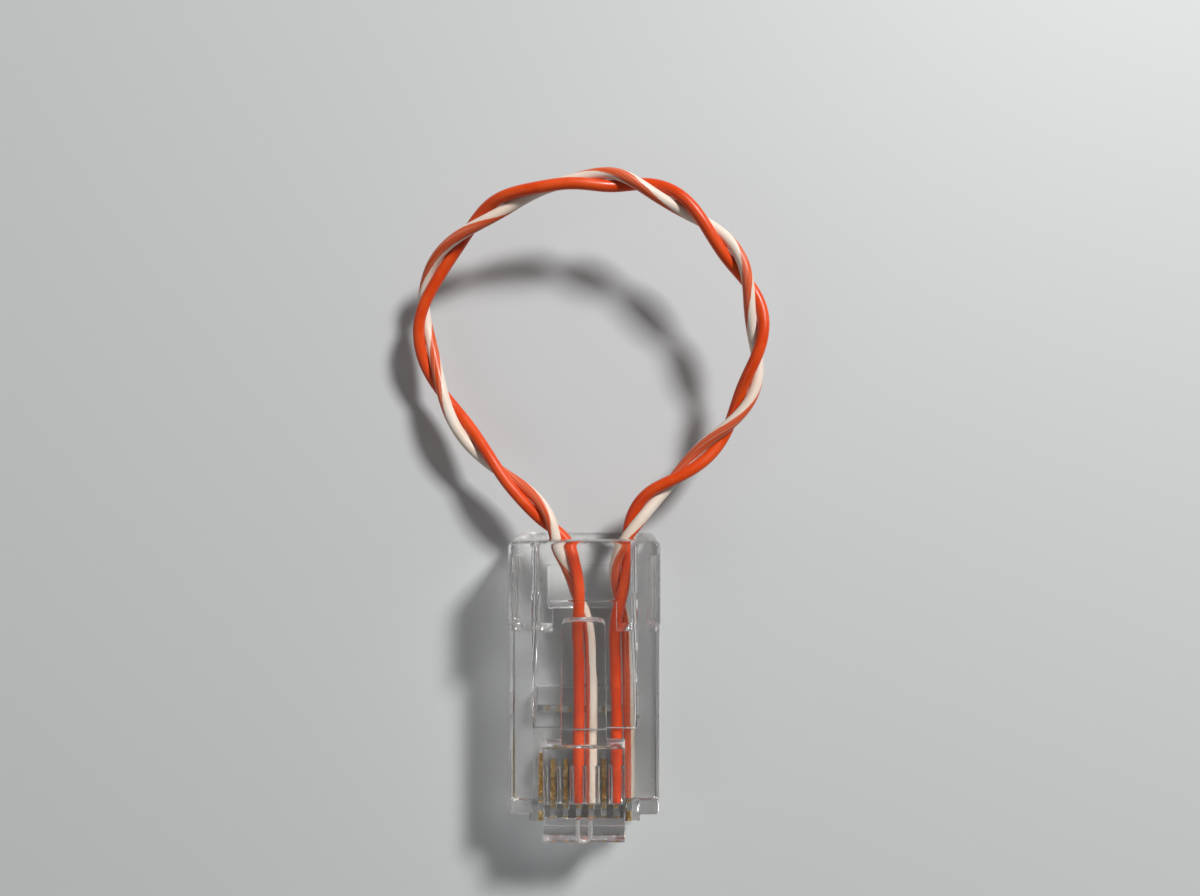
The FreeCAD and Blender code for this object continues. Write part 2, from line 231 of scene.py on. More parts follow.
# %% Strand centrelines
WIRE_D = 0.93  # mm, over the insulation
PAIR_ARM = 0.475  # mm, from the middle line to each wire where they touch
PITCH = 1.02  # mm between contacts
ARM_STATIONS = [0, 2, -3, -1]  # where the arm changes, counted from both ends
WHITE_ON_TOP = 3  # station where the white wire crosses over
TWIST_OFF = {  # station: degrees ahead of an even twist
    0: 0,
    0.9: 24,
    1.9: -40,
    2.6: -60,
    3.2: 0,
    11.3: 0,
    12.6: 25,
    14.1: -60,
    15.2: 0,
}
EASE = 21  # points that the turn is eased over


def unit(vectors):
    """Vectors of the same directions and of length one."""
    return vectors / np.linalg.norm(vectors, axis=1, keepdims=True)


def eased(values):
    """A running mean, with the ends held."""
    padded = np.pad(values, EASE // 2, mode="edge")
    return np.convolve(padded, np.full(EASE, 1 / EASE), mode="valid")


stations = np.array(ROUTE) * MM
gaps = np.linalg.norm(middle[:, None] - stations[None], axis=2)
station_at = gaps.argmin(axis=0)
order = np.arange(len(middle))
station = eased(np.interp(order, station_at, np.arange(len(ROUTE))))


def turned_off(degrees):
    """A table of degrees by station, read at every point of the line and eased, in radians."""
    return np.radians(eased(np.interp(station, list(degrees), list(degrees.values()))))


angle = (station - WHITE_ON_TOP) * math.pi / 2 + turned_off(TWIST_OFF)
arms = (PITCH / 2, PAIR_ARM, PAIR_ARM, PITCH / 2)
arm = eased(np.interp(order, station_at[ARM_STATIONS], arms)) * MM
along = unit(np.gradient(middle, axis=0))
right = unit(np.cross(along, (0, 0, 1)))
up = np.cross(right, along)
offset = (up * np.cos(angle)[:, None] + right * np.sin(angle)[:, None]) * arm[:, None]
strands = {"orange_wire": middle - offset, "white_wire": middle + offset}
for name, line in strands.items():
    print(name, round(runs(line).sum() / MM, 1), "mm long")

# %% [markdown]
# ### The coloured line on the white wire
# The white wire carries a printed line of the pair's colour. Wires that are twisted together
# turn with the twist, so the line keeps to about the same side of the pair, and it comes up
# wherever the white wire lies on top. It wanders on the way, as the photograph shows at the
# crossings, and in the plug it lies up and to the left.

# %% Where the printed line faces
LINE_OFF = {  # station: degrees off the outer side of the pair
    0: 195,
    1: 130,
    2: 110,
    2.6: -74,
    3: -70,
    4.6: -120,
    7: -54,
    8: -65,
    9.8: 70,
    11: 0,
    15: 36,
    17.6: -40,
    19: 18,
    23: -30,
    24.6: -110,
    27: -60,
    30: -225,
}

facing = {"orange_wire": angle + math.pi, "white_wire": angle + turned_off(LINE_OFF)}
turns = (facing["white_wire"][-1] - facing["white_wire"][0]) / (2 * math.pi)
print("the line turns", round(turns, 1), "times")

# %% [markdown]
# ### Insulation round the strands
# A tube is a ring of points carried along its strand. The rings also carry a UV map, once round
# and so many millimetres along, because the printed line runs along the wire and not through
# space. Half way round in the map is the side that the line faces.

# %% Wire tubes
SIDES = 28
HALF_ROUND = 0.5  # of the way round, where the printed line is
CORE_D = 0.52  # mm, copper seen at the cut ends
CORE_SLOT = 1  # material slot of the cut ends
TIP_R = 0.0001  # mm, the ring that closes a cut end
TUBE_SMOOTH = 60  # degrees


def map_along(piece, run):
    """A UV map on a tube whose rows are run millimetres along: u once round, v along."""
    column = np.tile(np.arange(SIDES), (len(run) - 1, 1))
    u = np.stack([column, column + 1, column + 1, column], axis=-1) / SIDES
    v = np.stack([run[:-1], run[:-1], run[1:], run[1:]], axis=-1)
    v = v[:, None].repeat(SIDES, axis=1)
    uv = piece.data.uv_layers.new(name="along_wire")
    uv.data.foreach_set("uv", np.stack([u, v], axis=-1).ravel())


def tube(name, line, toward):
    """Rings of radius WIRE_D / 2 about the line: point = line + (top cos a + side sin a) radius,
    where a is the angle that the printed line faces half way round. Each cut end steps in to a
    ring of the core's size and closes on its middle."""
    ahead = unit(np.gradient(line, axis=0))
    side = unit(np.cross(ahead, (0, 0, 1)))
    top = np.cross(side, ahead)
    around = (np.arange(SIDES) / SIDES - HALF_ROUND) * 2 * math.pi
    turned = (toward[:, None] + around[None])[..., None]
    spoke = top[:, None] * np.cos(turned) + side[:, None] * np.sin(turned)
    last = len(line) - 1
    rows = np.r_[0, 0, np.arange(len(line)), last, last]
    radii = np.full(len(line), WIRE_D / 2)
    sizes = np.r_[TIP_R, CORE_D / 2, radii, CORE_D / 2, TIP_R] * MM
    points = line[rows][:, None] + spoke[rows] * sizes[:, None, None]
    piece = new_piece(name, points, grid_quads(len(rows), SIDES), TUBE_SMOOTH)
    map_along(piece, np.r_[0, np.cumsum(runs(line))][rows] / MM)
    slots = np.zeros((len(rows) - 1, SIDES), dtype=np.int32)
    slots[[0, -1]] = CORE_SLOT
    piece.data.polygons.foreach_set("material_index", slots.ravel())
    return piece


wires = {
    name: tube(name + "_insulation", line, facing[name]) for name, line in strands.items()
}
for piece in wires.values():
    print(piece.name, len(piece.data.polygons), "faces")

# %% [markdown]
# ### Wires on the plug
# A wire has no joint, and yet it can be bent. Here each tube rides on the plug, and the imported
# wire that it stands for is hidden.

# %% Wires ride on the plug
MOUTH_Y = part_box("housing")[1].y

for name, piece in wires.items():
    line = strands[name]
    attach(piece, "plug")
    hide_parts(name)
    line[np.abs(line[: len(line) // 2, 1] - MOUTH_Y).argmin()]
print("cords leave the plug at", round(MOUTH_Y / MM, 2), "mm")

# %% [markdown]
# ## The contacts
# Each contact is a small blade stamped from sheet metal: a rounded nose that meets the jack's
# spring, and teeth that bite through the insulation. A stamped edge is never quite sharp, so
# the outline is carried across the sheet with its first and last rings drawn in along a quarter
# circle.

# %% Contact blades
CONTACTS = 8
NOSE_R = 0.6  # mm
NOSE_POINTS = 9
BLADE_BODY_H = 1.35  # mm, below the teeth
TOOTH_GAP = 0.5  # mm, flat before, between and after the teeth
TEETH = 2
BLADE_ROUND = 0.06  # mm, stamped edges
ROUND_RINGS = 4


def blade_outline(low, high):
    """Corners of a blade from the side, in mm: nose arc, straight back, then teeth from the
    rear to the front."""
    front, rear, floor_z, tip = low.y / MM, high.y / MM, low.z / MM, high.z / MM
    bend = np.linspace(math.pi, 1.5 * math.pi, NOSE_POINTS)
    nose = np.c_[front + NOSE_R * (1 + np.cos(bend)), floor_z + NOSE_R * (1 + np.sin(bend))]
    shoulder = floor_z + BLADE_BODY_H
    tooth = (rear - front - (TEETH + 1) * TOOTH_GAP) / TEETH
    ends = rear - TOOTH_GAP - np.arange(TEETH) * (tooth + TOOTH_GAP)
    rise = ((0, shoulder), (0.5, tip), (1, shoulder))  # share of the tooth's length, height
    saw = [np.c_[ends - tooth * share, np.full(TEETH, z)] for share, z in rise]
    saw = np.stack(saw, axis=1).reshape(-1, 2)
    return np.vstack([nose, (rear, floor_z), (rear, shoulder), saw, (front, shoulder)])


def drawn_in(outline, by):
    """The outline moved inwards: each corner goes along the sum of its two edges' normals."""
    run = unit(np.roll(outline, -1, axis=0) - outline)
    normal = np.c_[run[:, 1], -run[:, 0]]
    before = np.roll(normal, 1, axis=0)
    turn = (normal * before).sum(axis=1, keepdims=True)
    return outline - by * (normal + before) / (1 + turn)


def blade(name, low, high):
    """Rings of the outline across the sheet: in x by 1 - cos a and drawn in by 1 - sin a of the
    edge's rounding."""
    outline = blade_outline(low, high)
    bend = np.linspace(0, math.pi / 2, ROUND_RINGS)
    inset = BLADE_ROUND * (1 - np.sin(bend))
    shift = BLADE_ROUND * (1 - np.cos(bend))
    across = np.r_[low.x / MM + shift, high.x / MM - shift[::-1]]
    rings = np.stack([drawn_in(outline, by) for by in np.r_[inset, inset[::-1]]])
    size = rings.shape[:2]
    x = np.broadcast_to(across[:, None, None], (*size, 1))
    points = np.concatenate([x, rings], axis=-1) * MM
    return new_piece(name, points, [*grid_quads(*size), *end_caps(*size)])


blades = []
for number in range(1, CONTACTS + 1):
    piece = blade("contact_blade_%d" % number, *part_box("contact_%d" % number))
    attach(piece, "plug")
    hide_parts("contact_%d" % number)
    blades.append(piece)
print("blades", len(blades), "of", len(blades[0].data.polygons), "faces")

# %% [markdown]
# ## The clear moulding
# Housing and latch are one piece of polycarbonate on the real plug: the latch bends at its
# rounded root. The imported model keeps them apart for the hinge, with a hair's breadth of
# clearance in the seat. Their meshes are loose triangles, and a Boolean needs closed ones, so
# copies of both are welded first.

# %% Welded copies
WELD = 0.002  # mm, points nearer than this are one


def welded_copy(name, source):
    """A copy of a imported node, whose loose triangles are joined at their corners."""
    work = bmesh.new()
    work.from_mesh(source.data)
    bmesh.ops.remove_doubles(work, verts=work.verts, dist=WELD * MM)
    mesh = bpy.data.meshes.new(name)
    work.to_mesh(mesh)
    work.free()
    copy = bpy.data.objects.new(name, mesh)
    bpy.context.scene.collection.objects.link(copy)
    return copy


moulding = welded_copy("clear_moulding", frame["nodes"]["housing"])
lever = welded_copy("lever_copy", frame["nodes"]["latch"])
for piece in (moulding, lever):
    print(piece.name, len(piece.data.vertices), "points")

# %% [markdown]
# ### The web and the bead
# A half-round web fills the seat under the latch's root. The photograph also shows a bright U
# on the root, where the mould was filled, so a thin bead goes round the pad there.

# %% Web and bead
ROOT_R = 0.75  # mm, rounded root of the latch
ROOT_CLEAR = 0.05  # mm, clearance that the web fills
WEB_POINTS = 25
LEVER_ANGLE = 13  # degrees that the free lever is raised by
GATE_W = 1.4  # mm, pad where the mould was filled, from the hinge in the lever's own plane
GATE_LEN = 1.8
GATE_BACK = 0.3
GATE_TOP = 0.94  # mm over the hinge, also the middle of the bead
BEAD_R = 0.16  # mm
BEAD_IN = 0.06  # mm, in from the pad's edge
BEAD_SIDES = 16
BEAD_POINTS = 17  # round the end of the U

hinge = np.array(frame["joints"][0]["pos_m"])


def half_circle(points):
    """Points of the lower half of a circle of radius one."""
    bend = np.linspace(math.pi, 2 * math.pi, points)
    return np.c_[np.cos(bend), np.sin(bend)]


def root_web():
    """A half disc below the hinge, flush with the nose, carried across the latch:
    point = hinge + (x, r cos a, r sin a) with r cos a no less than the root's own -r."""
    low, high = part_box("latch")
    rim = half_circle(WEB_POINTS) * (ROOT_R + 2 * ROOT_CLEAR)
    rim = np.maximum(rim, (-ROOT_R, -math.inf)) * MM
    sides = np.stack([np.c_[np.full(len(rim), x), rim + hinge[1:]] for x in (low.x, high.x)])
    size = sides.shape[:2]
    return new_piece("root_web", sides, [*grid_quads(*size), *end_caps(*size)])


def gate_bead():
    """A round bead along a U on the pad: ring = path + (side cos a + up sin a) r, raised with
    the free lever."""
    reach = GATE_W / 2 - BEAD_R - BEAD_IN
    arc = half_circle(BEAD_POINTS) * reach + (0, GATE_BACK)
    path = np.vstack([(-reach, GATE_LEN - BEAD_IN), arc, (reach, GATE_LEN - BEAD_IN)])
    ahead = unit(np.gradient(path, axis=0))
    side = np.c_[ahead[:, 1], -ahead[:, 0]]
    around = np.arange(BEAD_SIDES) / BEAD_SIDES * 2 * math.pi
    flat = path[:, None] + side[:, None] * np.cos(around)[None, :, None] * BEAD_R
    height = np.broadcast_to(GATE_TOP + np.sin(around) * BEAD_R, flat.shape[:2])
    tilt = math.radians(LEVER_ANGLE)
    y = flat[..., 1] * math.cos(tilt) - height * math.sin(tilt)
    z = flat[..., 1] * math.sin(tilt) + height * math.cos(tilt)
    rings = np.stack([flat[..., 0], y, z], axis=-1) * MM + hinge
    size = rings.shape[:2]
    return new_piece("gate_bead", rings, [*grid_quads(*size), *end_caps(*size)])


web, bead = root_web(), gate_bead()
for piece in (web, bead):
    print(piece.name, len(piece.data.polygons), "faces")

# %% [markdown]
# ### One piece
# Pieces that merely overlap would show their inner walls through the clear plastic. A Boolean
# union keeps only the outer skin of all four, so light meets one wall at a time.


# %% Join the latch to the housing
def joined(base, others):
    """The union of closed meshes, as one new mesh on base."""
    for other in others:
        union = base.modifiers.new(other.name, "BOOLEAN")
        union.operation = "UNION"
        union.solver = "EXACT"
        union.object = other
    bpy.context.view_layer.update()
    whole = base.evaluated_get(bpy.context.evaluated_depsgraph_get())
    mesh = bpy.data.meshes.new_from_object(whole)
    base.modifiers.clear()
    base.data = mesh
    for other in others:
        bpy.data.objects.remove(other)
    return base


moulding = joined(moulding, [lever, web, bead])
print("moulding", len(moulding.data.polygons), "faces")

# %% [markdown]
# ### Rounded edges
# No moulded edge is knife sharp, and the rounding draws the bright lines that make clear
# plastic readable. So a narrow strip takes the place of each long sharp edge, apart from those
# at the latch's root. In clear plastic a face that is shaded as if it were bent also bends what
# is seen through it. So shading is smooth within the curved faces and within the strips, and it
# breaks at sharp edges and where a strip meets its faces.

# %% Round the long edges
FLAT = 0.5  # degrees, faces that turn by less are one face
EDGE_ROUND = 0.05  # mm
EDGE_TURN = 60  # degrees, sharper edges are rounded
LONG_EDGE = 1.9  # mm
ROOT_ZONE = 1.2  # mm about the hinge
STRIP_STEPS = 2  # faces across a strip
STRIP_BULGE = 0.5  # a round one
STRIP_SLOT = 1  # material slot that marks the strips for a while
MOULDING_SMOOTH = 50  # degrees


def takes_strip(edge):
    """Whether an edge is sharp, long and clear of the latch's root."""
    off_hinge = ((edge.verts[0].co + edge.verts[1].co) / 2 - Vector(hinge)).yz.length
    sharp = edge.calc_face_angle(0) > math.radians(EDGE_TURN)
    return sharp and edge.calc_length() > LONG_EDGE * MM and off_hinge > ROOT_ZONE * MM


def round_edges(piece):
    """Strips along the long edges, told apart by their slot until shading has been broken round
    them."""
    work = bmesh.new()
    work.from_mesh(piece.data)
    bmesh.ops.remove_doubles(work, verts=work.verts, dist=WELD * MM)
    flat = math.radians(FLAT)
    bmesh.ops.dissolve_limit(work, angle_limit=flat, verts=work.verts, edges=work.edges)
    bmesh.ops.triangulate(work, faces=work.faces)
    edges = [edge for edge in work.edges if takes_strip(edge)]
    bmesh.ops.bevel(
        work,
        geom=edges,
        offset=EDGE_ROUND * MM,
        segments=STRIP_STEPS,
        profile=STRIP_BULGE,
        affect="EDGES",
        material=STRIP_SLOT,
    )
    for edge in work.edges:
        kinds = {face.material_index for face in edge.link_faces}
        gentle = edge.calc_face_angle(math.pi) < math.radians(MOULDING_SMOOTH)
        edge.smooth = len(kinds) == 1 and gentle
    for face in work.faces:
        face.smooth = True
        face.material_index = 0
    work.to_mesh(piece.data)
    open_edges = sum(not edge.is_manifold for edge in work.edges)
    work.free()
    print("edges rounded", len(edges), "open edges", open_edges)


round_edges(moulding)
flatten = moulding.modifiers.new("flat_faces", "WEIGHTED_NORMAL")
flatten.keep_sharp = True
print("moulding", len(moulding.data.polygons), "faces")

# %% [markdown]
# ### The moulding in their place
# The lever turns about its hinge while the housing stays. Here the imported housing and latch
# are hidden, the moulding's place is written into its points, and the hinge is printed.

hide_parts("housing", "latch")
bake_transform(moulding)
print("hinge at", (hinge / MM).round(2), "mm")

# %% [markdown]
# ## Materials
# Every material on the plug is a Principled shader whose colour, roughness and bump come from
# noise read on the piece itself, so nothing is one flat colour. Six small helpers keep the
# cells short: they add a node with its settings, feed an input, start a material, mix two
# colours, carry a value from one range to another, and do a sum.

# %% Node helpers
COLOUR_A, COLOUR_B, COLOUR_OUT = 6, 7, 2  # sockets of a Mix node that mixes colours


def add(tree, kind, **settings):
    """A new node: names in small letters set its options, names with a capital set its unlinked
    inputs."""
    made = tree.nodes.new(kind)
    for name, value in settings.items():
        if name[0].islower():
            setattr(made, name, value)
        else:
            made.inputs[name.replace("_", " ")].default_value = value
    return made


def feed(tree, value, socket):
    """Links an output socket to an input, or sets the input to a plain value."""
    if isinstance(value, bpy.types.NodeSocket):
        tree.links.new(value, socket)
    else:
        socket.default_value = value


def principled(name, **values):
    """A new material with its node tree and shader, whose constant sockets are set by name."""
    material = bpy.data.materials.new(name)
    material.use_nodes = True
    shader = material.node_tree.nodes["Principled BSDF"]
    for socket, value in values.items():
        shader.inputs[socket.replace("_", " ")].default_value = value
    return material, material.node_tree, shader


def mixed(tree, factor, first, second):
    """The colour between two colours, where each is an output socket or a plain colour."""
    mix = add(tree, "ShaderNodeMix", data_type="RGBA")
    tree.links.new(factor, mix.inputs["Factor"])
    for number, colour in ((COLOUR_A, first), (COLOUR_B, second)):
        plain = isinstance(colour, tuple)
        feed(tree, (*colour, 1) if plain else colour, mix.inputs[number])
    return mix.outputs[COLOUR_OUT]


def ranged(tree, value, to, source=(0, 1)):
    """The value carried from the source range to another, eased at both ends."""
    span = add(
        tree,
        "ShaderNodeMapRange",
        interpolation_type="SMOOTHSTEP",
        From_Min=source[0],
        From_Max=source[1],
        To_Min=to[0],
        To_Max=to[1],
    )
    tree.links.new(value, span.inputs["Value"])
    return span.outputs["Result"]


def reckoned(tree, operation, *values):
    """The result of a Math node, where each value is an output socket or a plain number."""
    node = add(tree, "ShaderNodeMath", operation=operation)
    for socket, value in zip(node.inputs, values):
        feed(tree, value, socket)
    return node.outputs[0]


# %% [markdown]
# ### Grain that all the materials share
# Handling leaves the same traces on every surface: broad patches that are a little duller, and
# small specks. One node group makes both from two noises, and hands out a height as well. Each
# material sets its own scale.

# %% The grain group
FINER = 7  # the specks' noise is this much finer than the patches'
PATCH_DETAIL = 3.0
SPECK_DETAIL = 2.0
PATCH_FROM = (0.35, 0.65)  # stretch of the noise that turns into a patch
SPECK_FROM = (0.64, 0.74)  # only its peaks turn into specks
HEIGHT_FROM = (0.5, 1.5)  # of both noises together

grain = bpy.data.node_groups.new("handling_grain", "ShaderNodeTree")
grain.interface.new_socket("Vector", in_out="INPUT", socket_type="NodeSocketVector")
grain.interface.new_socket("Scale", in_out="INPUT", socket_type="NodeSocketFloat")
for name in ("Tone", "Speck", "Height"):
    grain.interface.new_socket(name, in_out="OUTPUT", socket_type="NodeSocketFloat")
inlet = grain.nodes.new("NodeGroupInput")
outlet = grain.nodes.new("NodeGroupOutput")
patches = add(grain, "ShaderNodeTexNoise", Detail=PATCH_DETAIL)
specks = add(grain, "ShaderNodeTexNoise", Detail=SPECK_DETAIL)
scale = inlet.outputs["Scale"]
fine_scale = reckoned(grain, "MULTIPLY", scale, FINER)
for noise, cells in ((patches, scale), (specks, fine_scale)):
    grain.links.new(inlet.outputs["Vector"], noise.inputs["Vector"])
    grain.links.new(cells, noise.inputs["Scale"])
both = reckoned(grain, "ADD", patches.outputs["Fac"], specks.outputs["Fac"])
handed_out = {
    "Tone": (patches.outputs["Fac"], PATCH_FROM),
    "Speck": (specks.outputs["Fac"], SPECK_FROM),
    "Height": (both, HEIGHT_FROM),
}
for name, (value, source) in handed_out.items():
    grain.links.new(ranged(grain, value, (0, 1), source), outlet.inputs[name])
print("grain group", len(grain.nodes), "nodes")

# %% [markdown]
# ### Grain, bump and streaks on a surface
# Four more helpers put noise to use: one reads the grain at the piece's own place, one turns a
# height into a bump, one stretches noise into streaks, for surfaces that were drawn, burnished
# or poured, and one gives the shader its colour and roughness.

# %% Surface helpers
STREAK_DETAIL = 2.0


def grained(tree, scale):
    """The grain group at the piece's own place, with so many noise cells for each metre."""
    place = add(tree, "ShaderNodeTexCoord")
    group = add(tree, "ShaderNodeGroup", node_tree=grain)
    group.inputs["Scale"].default_value = scale
    tree.links.new(place.outputs["Object"], group.inputs["Vector"])
    return group


def bumped(tree, shader, height, depth, strength):
    """A bump of the given depth in mm on the shader."""
    bump = add(tree, "ShaderNodeBump", Strength=strength, Distance=depth * MM)
    tree.links.new(height, bump.inputs["Height"])
    tree.links.new(bump.outputs["Normal"], shader.inputs["Normal"])


def streaks(tree, source, stretch):
    """Noise read at stretched coordinates, which gives lines along the least stretched axis."""
    reach = add(tree, "ShaderNodeVectorMath", operation="MULTIPLY")
    reach.inputs[1].default_value = stretch
    noise = add(tree, "ShaderNodeTexNoise", Scale=1.0, Detail=STREAK_DETAIL)
    tree.links.new(source, reach.inputs[0])
    tree.links.new(reach.outputs[0], noise.inputs["Vector"])
    return noise.outputs["Fac"]


def coated(tree, shader, colour, roughness):
    """The shader's colour and roughness, from output sockets."""
    tree.links.new(colour, shader.inputs["Base Color"])
    tree.links.new(roughness, shader.inputs["Roughness"])


# %% [markdown]
# ### Insulation
# The insulation is drawn through a die, which leaves very fine lines along the wire. They come
# from noise on the UV map, stretched along the wire. The white wire's printed line comes from
# the same map: it covers a band about half way round, with edges that waver and ink that is
# thin in places, so that it is paler than the solid orange.

# %% Orange and white insulation
ORANGE = ((0.66, 0.05, 0.003), (0.74, 0.074, 0.005))
CREAM = ((0.8, 0.7, 0.6), (0.76, 0.62, 0.5))
PRINT = (0.66, 0.075, 0.006)
LINE_HALF = 0.165  # of the way round, each side of the middle
LINE_EDGE = 0.025
INK_COVER = (0.78, 1.0)  # where the ink is thin, and where it is full
INK_FROM = (0.3, 0.6)  # stretch of the drawn lines' noise
DRAWN_LINES = (26, 0.15, 0)  # noise cells once round, and for each millimetre along
SHEATH_GRAIN = 420  # noise cells for each metre
SHEATH_SHINE = 0.38
SHEATH_ROUGH = (0.3, 0.46)
SHEATH_BUMP = (0.01, 0.5)  # depth in mm, and strength


def printed_line(tree, uv, waver, drawn):
    """How much of the surface ink covers, from 0 off the line to nearly 1 on it."""
    split = add(tree, "ShaderNodeSeparateXYZ")
    tree.links.new(uv, split.inputs[0])
    off_middle = reckoned(tree, "SUBTRACT", split.outputs["X"], HALF_ROUND)
    distance = reckoned(tree, "ABSOLUTE", off_middle)
    wavering = reckoned(tree, "MULTIPLY_ADD", waver, LINE_EDGE, distance)
    band = ranged(tree, wavering, (1, 0), (LINE_HALF, LINE_HALF + LINE_EDGE))
    return reckoned(tree, "MULTIPLY", band, ranged(tree, drawn, INK_COVER, INK_FROM))


def insulation(name, colours, line_colour=None):
    """Plastic between two near colours, with drawn lines, handled patches and an optional
    printed line."""
    material, tree, shader = principled(name, Specular_IOR_Level=SHEATH_SHINE)
    surface = grained(tree, SHEATH_GRAIN)
    uv = add(tree, "ShaderNodeUVMap", uv_map="along_wire").outputs["UV"]
    drawn = streaks(tree, uv, DRAWN_LINES)
    colour = mixed(tree, surface.outputs["Tone"], *colours)
    if line_colour:
        ink = printed_line(tree, uv, surface.outputs["Height"], drawn)
        colour = mixed(tree, ink, colour, line_colour)
    coated(tree, shader, colour, ranged(tree, surface.outputs["Tone"], SHEATH_ROUGH))
    bumped(tree, shader, drawn, *SHEATH_BUMP)
    return material


orange = insulation("orange_sheath", ORANGE)
white = insulation("white_sheath", CREAM, PRINT)
print("insulation", orange.name, white.name)

# %% [markdown]
# ### Metal
# Copper shows at the cut ends of the wires. The contacts are gold over nickel: the plating is
# brightest where it has been burnished along the blade, so noise stretched along Y moves the
# roughness and a very shallow bump.

# %% Copper and gold plate
COPPER = ((0.86, 0.46, 0.27), (0.78, 0.36, 0.19))
COPPER_ROUGH = (0.2, 0.4)
COPPER_LINES = (4000, 900, 4000)  # noise cells for each metre
GOLD = ((0.9, 0.64, 0.24), (0.82, 0.56, 0.2))
GOLD_ROUGH = (0.16, 0.38)
GOLD_LINES = (9000, 700, 9000)  # noise cells for each metre
BURNISH_FROM = (0.3, 0.7)  # stretch of the noise that moves the roughness
METAL_GRAIN = 900  # noise cells for each metre
METAL_BUMP = (0.003, 0.4)  # depth in mm, and strength


def metal(name, colours, rough, lines):
    """Metal between two near colours, burnished along Y."""
    material, tree, shader = principled(name, Metallic=1.0)
    surface = grained(tree, METAL_GRAIN)
    place = add(tree, "ShaderNodeTexCoord")
    burnish = streaks(tree, place.outputs["Object"], lines)
    colour = mixed(tree, surface.outputs["Tone"], *colours)
    coated(tree, shader, colour, ranged(tree, burnish, rough, BURNISH_FROM))
    bumped(tree, shader, burnish, *METAL_BUMP)
    return material


copper = metal("copper_core", COPPER, COPPER_ROUGH, COPPER_LINES)
gold = metal("gold_finish", GOLD, GOLD_ROUGH, GOLD_LINES)
print("metal", copper.name, gold.name)

# %% [markdown]
# ### Clear plastic
# Polycarbonate bends light strongly, with a refractive index of 1.58, and is never perfectly
# even: the melt leaves faint flow lines along the plug, and handling leaves dull specks. Flow
# lines are a bump from noise stretched along Y, and the specks raise the roughness.

# %% Polycarbonate
REFRACTION = 1.58
CLEAR_TINTS = ((0.965, 0.968, 0.97), (0.945, 0.94, 0.93))
CLEAR_ROUGH = (0.025, 0.14)  # polished, and on a speck
CLEAR_GRAIN = 350  # noise cells for each metre
FLOW_LINES = (1100, 120, 700)  # noise cells for each metre
FLOW_BUMP = (0.008, 0.5)  # depth in mm, and strength

clear, tree, shader = principled("clear_polycarbonate", Transmission_Weight=1.0, IOR=REFRACTION)
surface = grained(tree, CLEAR_GRAIN)
place = add(tree, "ShaderNodeTexCoord")
flow = streaks(tree, place.outputs["Object"], FLOW_LINES)
tint = mixed(tree, surface.outputs["Tone"], *CLEAR_TINTS)
coated(tree, shader, tint, ranged(tree, surface.outputs["Speck"], CLEAR_ROUGH))
bumped(tree, shader, flow, *FLOW_BUMP)
print("clear plastic", len(tree.nodes), "nodes")

# %% [markdown]
# ### Lamp light through the plastic
# A renderer tests each lamp along a straight line, and glass stops that line, so the wires in
# the plug would lie in the dark. A Light Path node puts a transparent shader in the glass's
# place for those tests alone. Real light gets through the inner faces well, but at the outer
# walls and the front most of it is mirrored back inside, which is why the plug throws a dark
# shadow. So the share that passes drops near the outside of the box.

# %% Pass the lamps' light
INNER_SHARE = 0.6
OUTER_SHARE = 0.12
WALL_ZONE = 0.45  # mm in from the sides
FRONT_ZONE = 2.5  # mm in from the front
ZONE_EDGE = 0.1  # mm

low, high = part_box("housing")
wall_at = high.x - WALL_ZONE * MM
front_at = low.y + FRONT_ZONE * MM
axes = add(tree, "ShaderNodeSeparateXYZ")
tree.links.new(place.outputs["Object"], axes.inputs[0])
aside = reckoned(tree, "ABSOLUTE", axes.outputs["X"])
in_wall = ranged(tree, aside, (0, 1), (wall_at, wall_at + ZONE_EDGE * MM))
in_front = ranged(tree, axes.outputs["Y"], (1, 0), (front_at, front_at + ZONE_EDGE * MM))
outer = reckoned(tree, "MAXIMUM", in_wall, in_front)
share = mixed(tree, outer, (INNER_SHARE,) * 3, (OUTER_SHARE,) * 3)
rays = add(tree, "ShaderNodeLightPath")
stand_in = add(tree, "ShaderNodeBsdfTransparent")
either = add(tree, "ShaderNodeMixShader")
tree.links.new(share, stand_in.inputs["Color"])
tree.links.new(rays.outputs["Is Shadow Ray"], either.inputs[0])
tree.links.new(shader.outputs["BSDF"], either.inputs[1])
tree.links.new(stand_in.outputs["BSDF"], either.inputs[2])
tree.links.new(either.outputs["Shader"], tree.nodes["Material Output"].inputs["Surface"])
print("walls from", round(wall_at / MM, 2), "mm, front to", round(front_at / MM, 2), "mm")

# %% [markdown]
# ### The frosted gate
# Where the mould was filled, the plastic was torn off, and a torn surface scatters light. So
# the bead round the pad gets a whitish material of its own: most of the light goes through it,
# blurred, and some is scattered back.

# %% Frosted plastic
FROST_THROUGH = 0.84  # share of the light
FROST_TINTS = ((0.93, 0.93, 0.93), (0.84, 0.84, 0.83))
FROST_ROUGH = (0.4, 0.6)
FROST_GRAIN = 1500  # noise cells for each metre
FROST_BUMP = (0.02, 0.5)  # depth in mm, and strength

frost, tree, shader = principled(
    "frosted_polycarbonate", Transmission_Weight=FROST_THROUGH, IOR=REFRACTION
)
surface = grained(tree, FROST_GRAIN)
tint = mixed(tree, surface.outputs["Tone"], *FROST_TINTS)
coated(tree, shader, tint, ranged(tree, surface.outputs["Tone"], FROST_ROUGH))
bumped(tree, shader, surface.outputs["Height"], *FROST_BUMP)
print("frosted plastic", len(tree.nodes), "nodes")

# %% [markdown]
# ### Who wears what
# A mesh has a list of material slots, and each face holds the number of its slot. The wires
# have two, because the faces of their cut ends were given the second one. The moulding has two
# as well: a face is on the bead if its middle is higher over the lever's own plane than the
# middle of the bead. The contacts have one.

